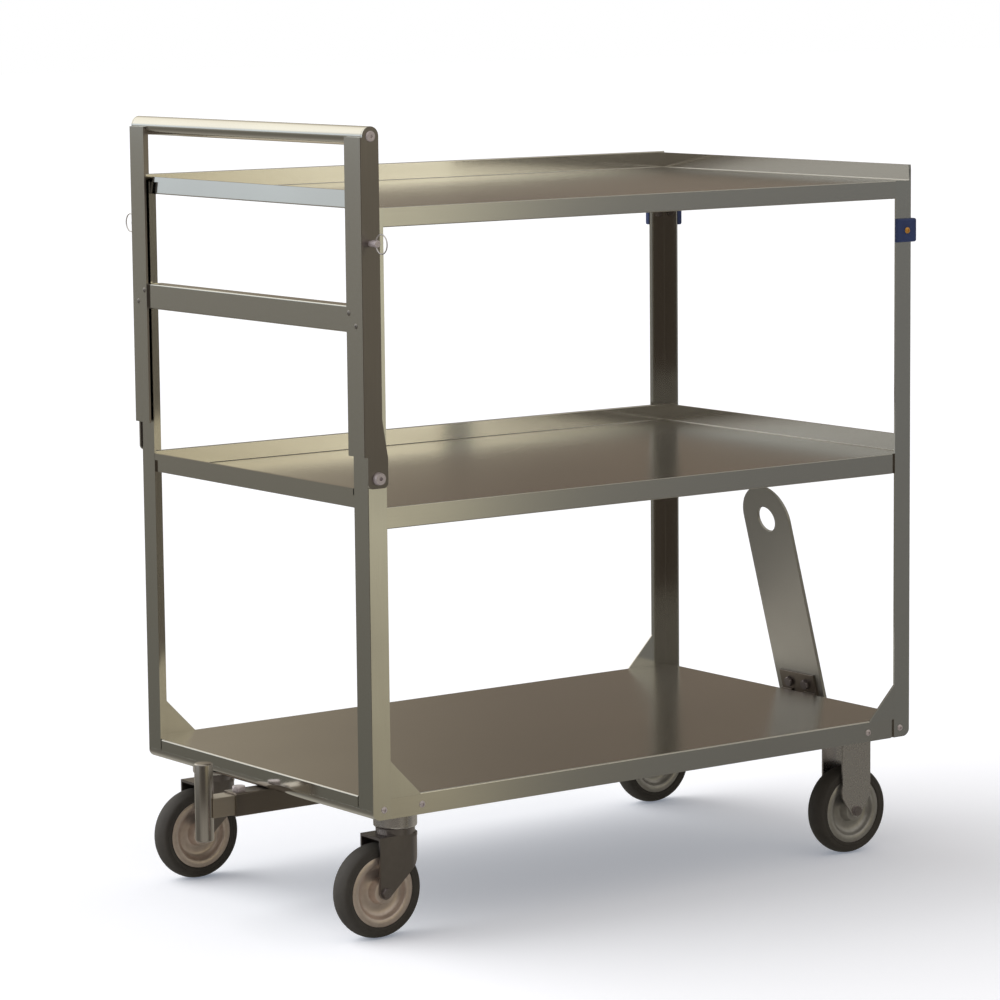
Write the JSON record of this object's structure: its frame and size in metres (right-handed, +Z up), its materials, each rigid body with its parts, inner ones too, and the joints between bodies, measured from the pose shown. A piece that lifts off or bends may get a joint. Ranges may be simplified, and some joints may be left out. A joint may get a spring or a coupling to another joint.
{
  "type": "meal delivery cart",
  "caption": "Tall stainless tow cart with open tray shelves over a low deck, a fold-out push handle, swivel and rigid casters, a hitch pin and a folding tow tongue",
  "frame": {"origin": "on the floor under the middle of the whole cart's bounding box", "axes": "+Z up, +X from the handle end towards the tow tongue, -Y towards the side whose shelf edges are turned down"},
  "size_m": [1.0682, 0.639, 1.0637],
  "materials": {
    "frame_steel": "satin stainless sheet",
    "shelf_steel": "satin stainless sheet",
    "handle_steel": "satin stainless sheet",
    "tube_steel": "bright stainless tube",
    "fastener_steel": "bright fasteners",
    "hitch_steel": "plain dark steel bar",
    "tongue_steel": "satin steel bar",
    "caster_steel": "plated pressings",
    "hub_metal": "satin cast alloy",
    "tyre_rubber": "plain dark grey tread",
    "bumper_blue": "navy moulding",
    "screw_brass": "brass screw"
  },
  "bodies": {
    "frame": {"leg_handle_near": "frame_steel", "leg_handle_far": "frame_steel", "leg_tow_near": "frame_steel", "leg_tow_far": "frame_steel", "top_shelf": "shelf_steel", "middle_shelf": "shelf_steel", "bottom_deck": "shelf_steel", "end_rail_handle": "frame_steel", "end_rail_tow": "frame_steel", "gusset_handle_near": "frame_steel", "gusset_handle_far": "frame_steel", "gusset_tow_near": "frame_steel", "gusset_tow_far": "frame_steel", "frame_screws": "fastener_steel", "bumper_near": "bumper_blue", "bumper_far": "bumper_blue", "bumper_screws": "screw_brass", "pivot_bolts": "fastener_steel", "draw_tube": "hitch_steel", "drawbar": "hitch_steel", "drawbar_bolt": "fastener_steel", "hitch_pin": "hitch_steel", "tongue_hinge_base": "hitch_steel", "tongue_hinge_pin": "hitch_steel", "swivel_plate_near": "caster_steel", "swivel_plate_far": "caster_steel", "king_pin_near": "fastener_steel", "king_pin_far": "fastener_steel", "rigid_fork_near": "caster_steel", "rigid_fork_far": "caster_steel", "rigid_axle_near": "fastener_steel", "rigid_axle_far": "fastener_steel", "caster_bolts": "fastener_steel"},
    "handle": {"upright_near": "handle_steel", "upright_far": "handle_steel", "handle_tube": "tube_steel", "cross_bar": "handle_steel", "cross_bar_rivets": "fastener_steel", "handle_tube_screws": "fastener_steel"},
    "tongue": {"tow_tongue": "tongue_steel", "tongue_leaf": "hitch_steel", "tongue_bolts": "fastener_steel"},
    "lock_pin_near": {"lock_pin_near": "fastener_steel"},
    "pull_ring_near": {"pull_ring_near": "fastener_steel"},
    "swivel_near": {"swivel_fork_near": "caster_steel", "swivel_axle_near": "fastener_steel"},
    "swivel_wheel_near": {"swivel_hub_near": "hub_metal", "swivel_tyre_near": "tyre_rubber"},
    "rigid_wheel_near": {"rigid_hub_near": "hub_metal", "rigid_tyre_near": "tyre_rubber"},
    "lock_pin_far": {"lock_pin_far": "fastener_steel"},
    "pull_ring_far": {"pull_ring_far": "fastener_steel"},
    "swivel_far": {"swivel_fork_far": "caster_steel", "swivel_axle_far": "fastener_steel"},
    "swivel_wheel_far": {"swivel_hub_far": "hub_metal", "swivel_tyre_far": "tyre_rubber"},
    "rigid_wheel_far": {"rigid_hub_far": "hub_metal", "rigid_tyre_far": "tyre_rubber"}
  },
  "joints": [
    {"name": "handle_fold", "type": "hinge", "parent": "frame", "child": "handle", "pos_m": [-0.4251, 0, 0.615], "axis": [0, -1, 0], "range_deg": [0, 110]},
    {"name": "tongue_fold", "type": "hinge", "parent": "frame", "child": "tongue", "pos_m": [0.5205, 0, 0.176], "axis": [0, 1, 0], "range_deg": [0, 104.5]},
    {"name": "lock_pin_near_slide", "type": "slide", "parent": "handle", "child": "lock_pin_near", "axis": [0, 1, 0], "range_m": [0, 0.0058]},
    {"name": "pull_ring_near_swing", "type": "hinge", "parent": "lock_pin_near", "child": "pull_ring_near", "pos_m": [-0.4321, -0.29425, 0.916], "axis": [0, 0, 1], "range_deg": [-85, 85]},
    {"name": "caster_near_swivel", "type": "hinge", "parent": "frame", "child": "swivel_near", "pos_m": [-0.3666, -0.22375, 0.15], "axis": [0, 0, 1], "continuous": true},
    {"name": "swivel_wheel_near_spin", "type": "hinge", "parent": "swivel_near", "child": "swivel_wheel_near", "pos_m": [-0.3976, -0.22375, 0.0635], "axis": [0, 1, 0], "continuous": true},
    {"name": "rigid_wheel_near_spin", "type": "hinge", "parent": "frame", "child": "rigid_wheel_near", "pos_m": [0.4169, -0.22375, 0.0635], "axis": [0, 1, 0], "continuous": true},
    {"name": "lock_pin_far_slide", "type": "slide", "parent": "handle", "child": "lock_pin_far", "axis": [0, -1, 0], "range_m": [0, 0.0058]},
    {"name": "pull_ring_far_swing", "type": "hinge", "parent": "lock_pin_far", "child": "pull_ring_far", "pos_m": [-0.4321, 0.29425, 0.916], "axis": [0, 0, 1], "range_deg": [-85, 85]},
    {"name": "caster_far_swivel", "type": "hinge", "parent": "frame", "child": "swivel_far", "pos_m": [-0.3666, 0.22375, 0.15], "axis": [0, 0, 1], "continuous": true},
    {"name": "swivel_wheel_far_spin", "type": "hinge", "parent": "swivel_far", "child": "swivel_wheel_far", "pos_m": [-0.3976, 0.22375, 0.0635], "axis": [0, 1, 0], "continuous": true},
    {"name": "rigid_wheel_far_spin", "type": "hinge", "parent": "frame", "child": "rigid_wheel_far", "pos_m": [0.4169, 0.22375, 0.0635], "axis": [0, 1, 0], "continuous": true}
  ]
}
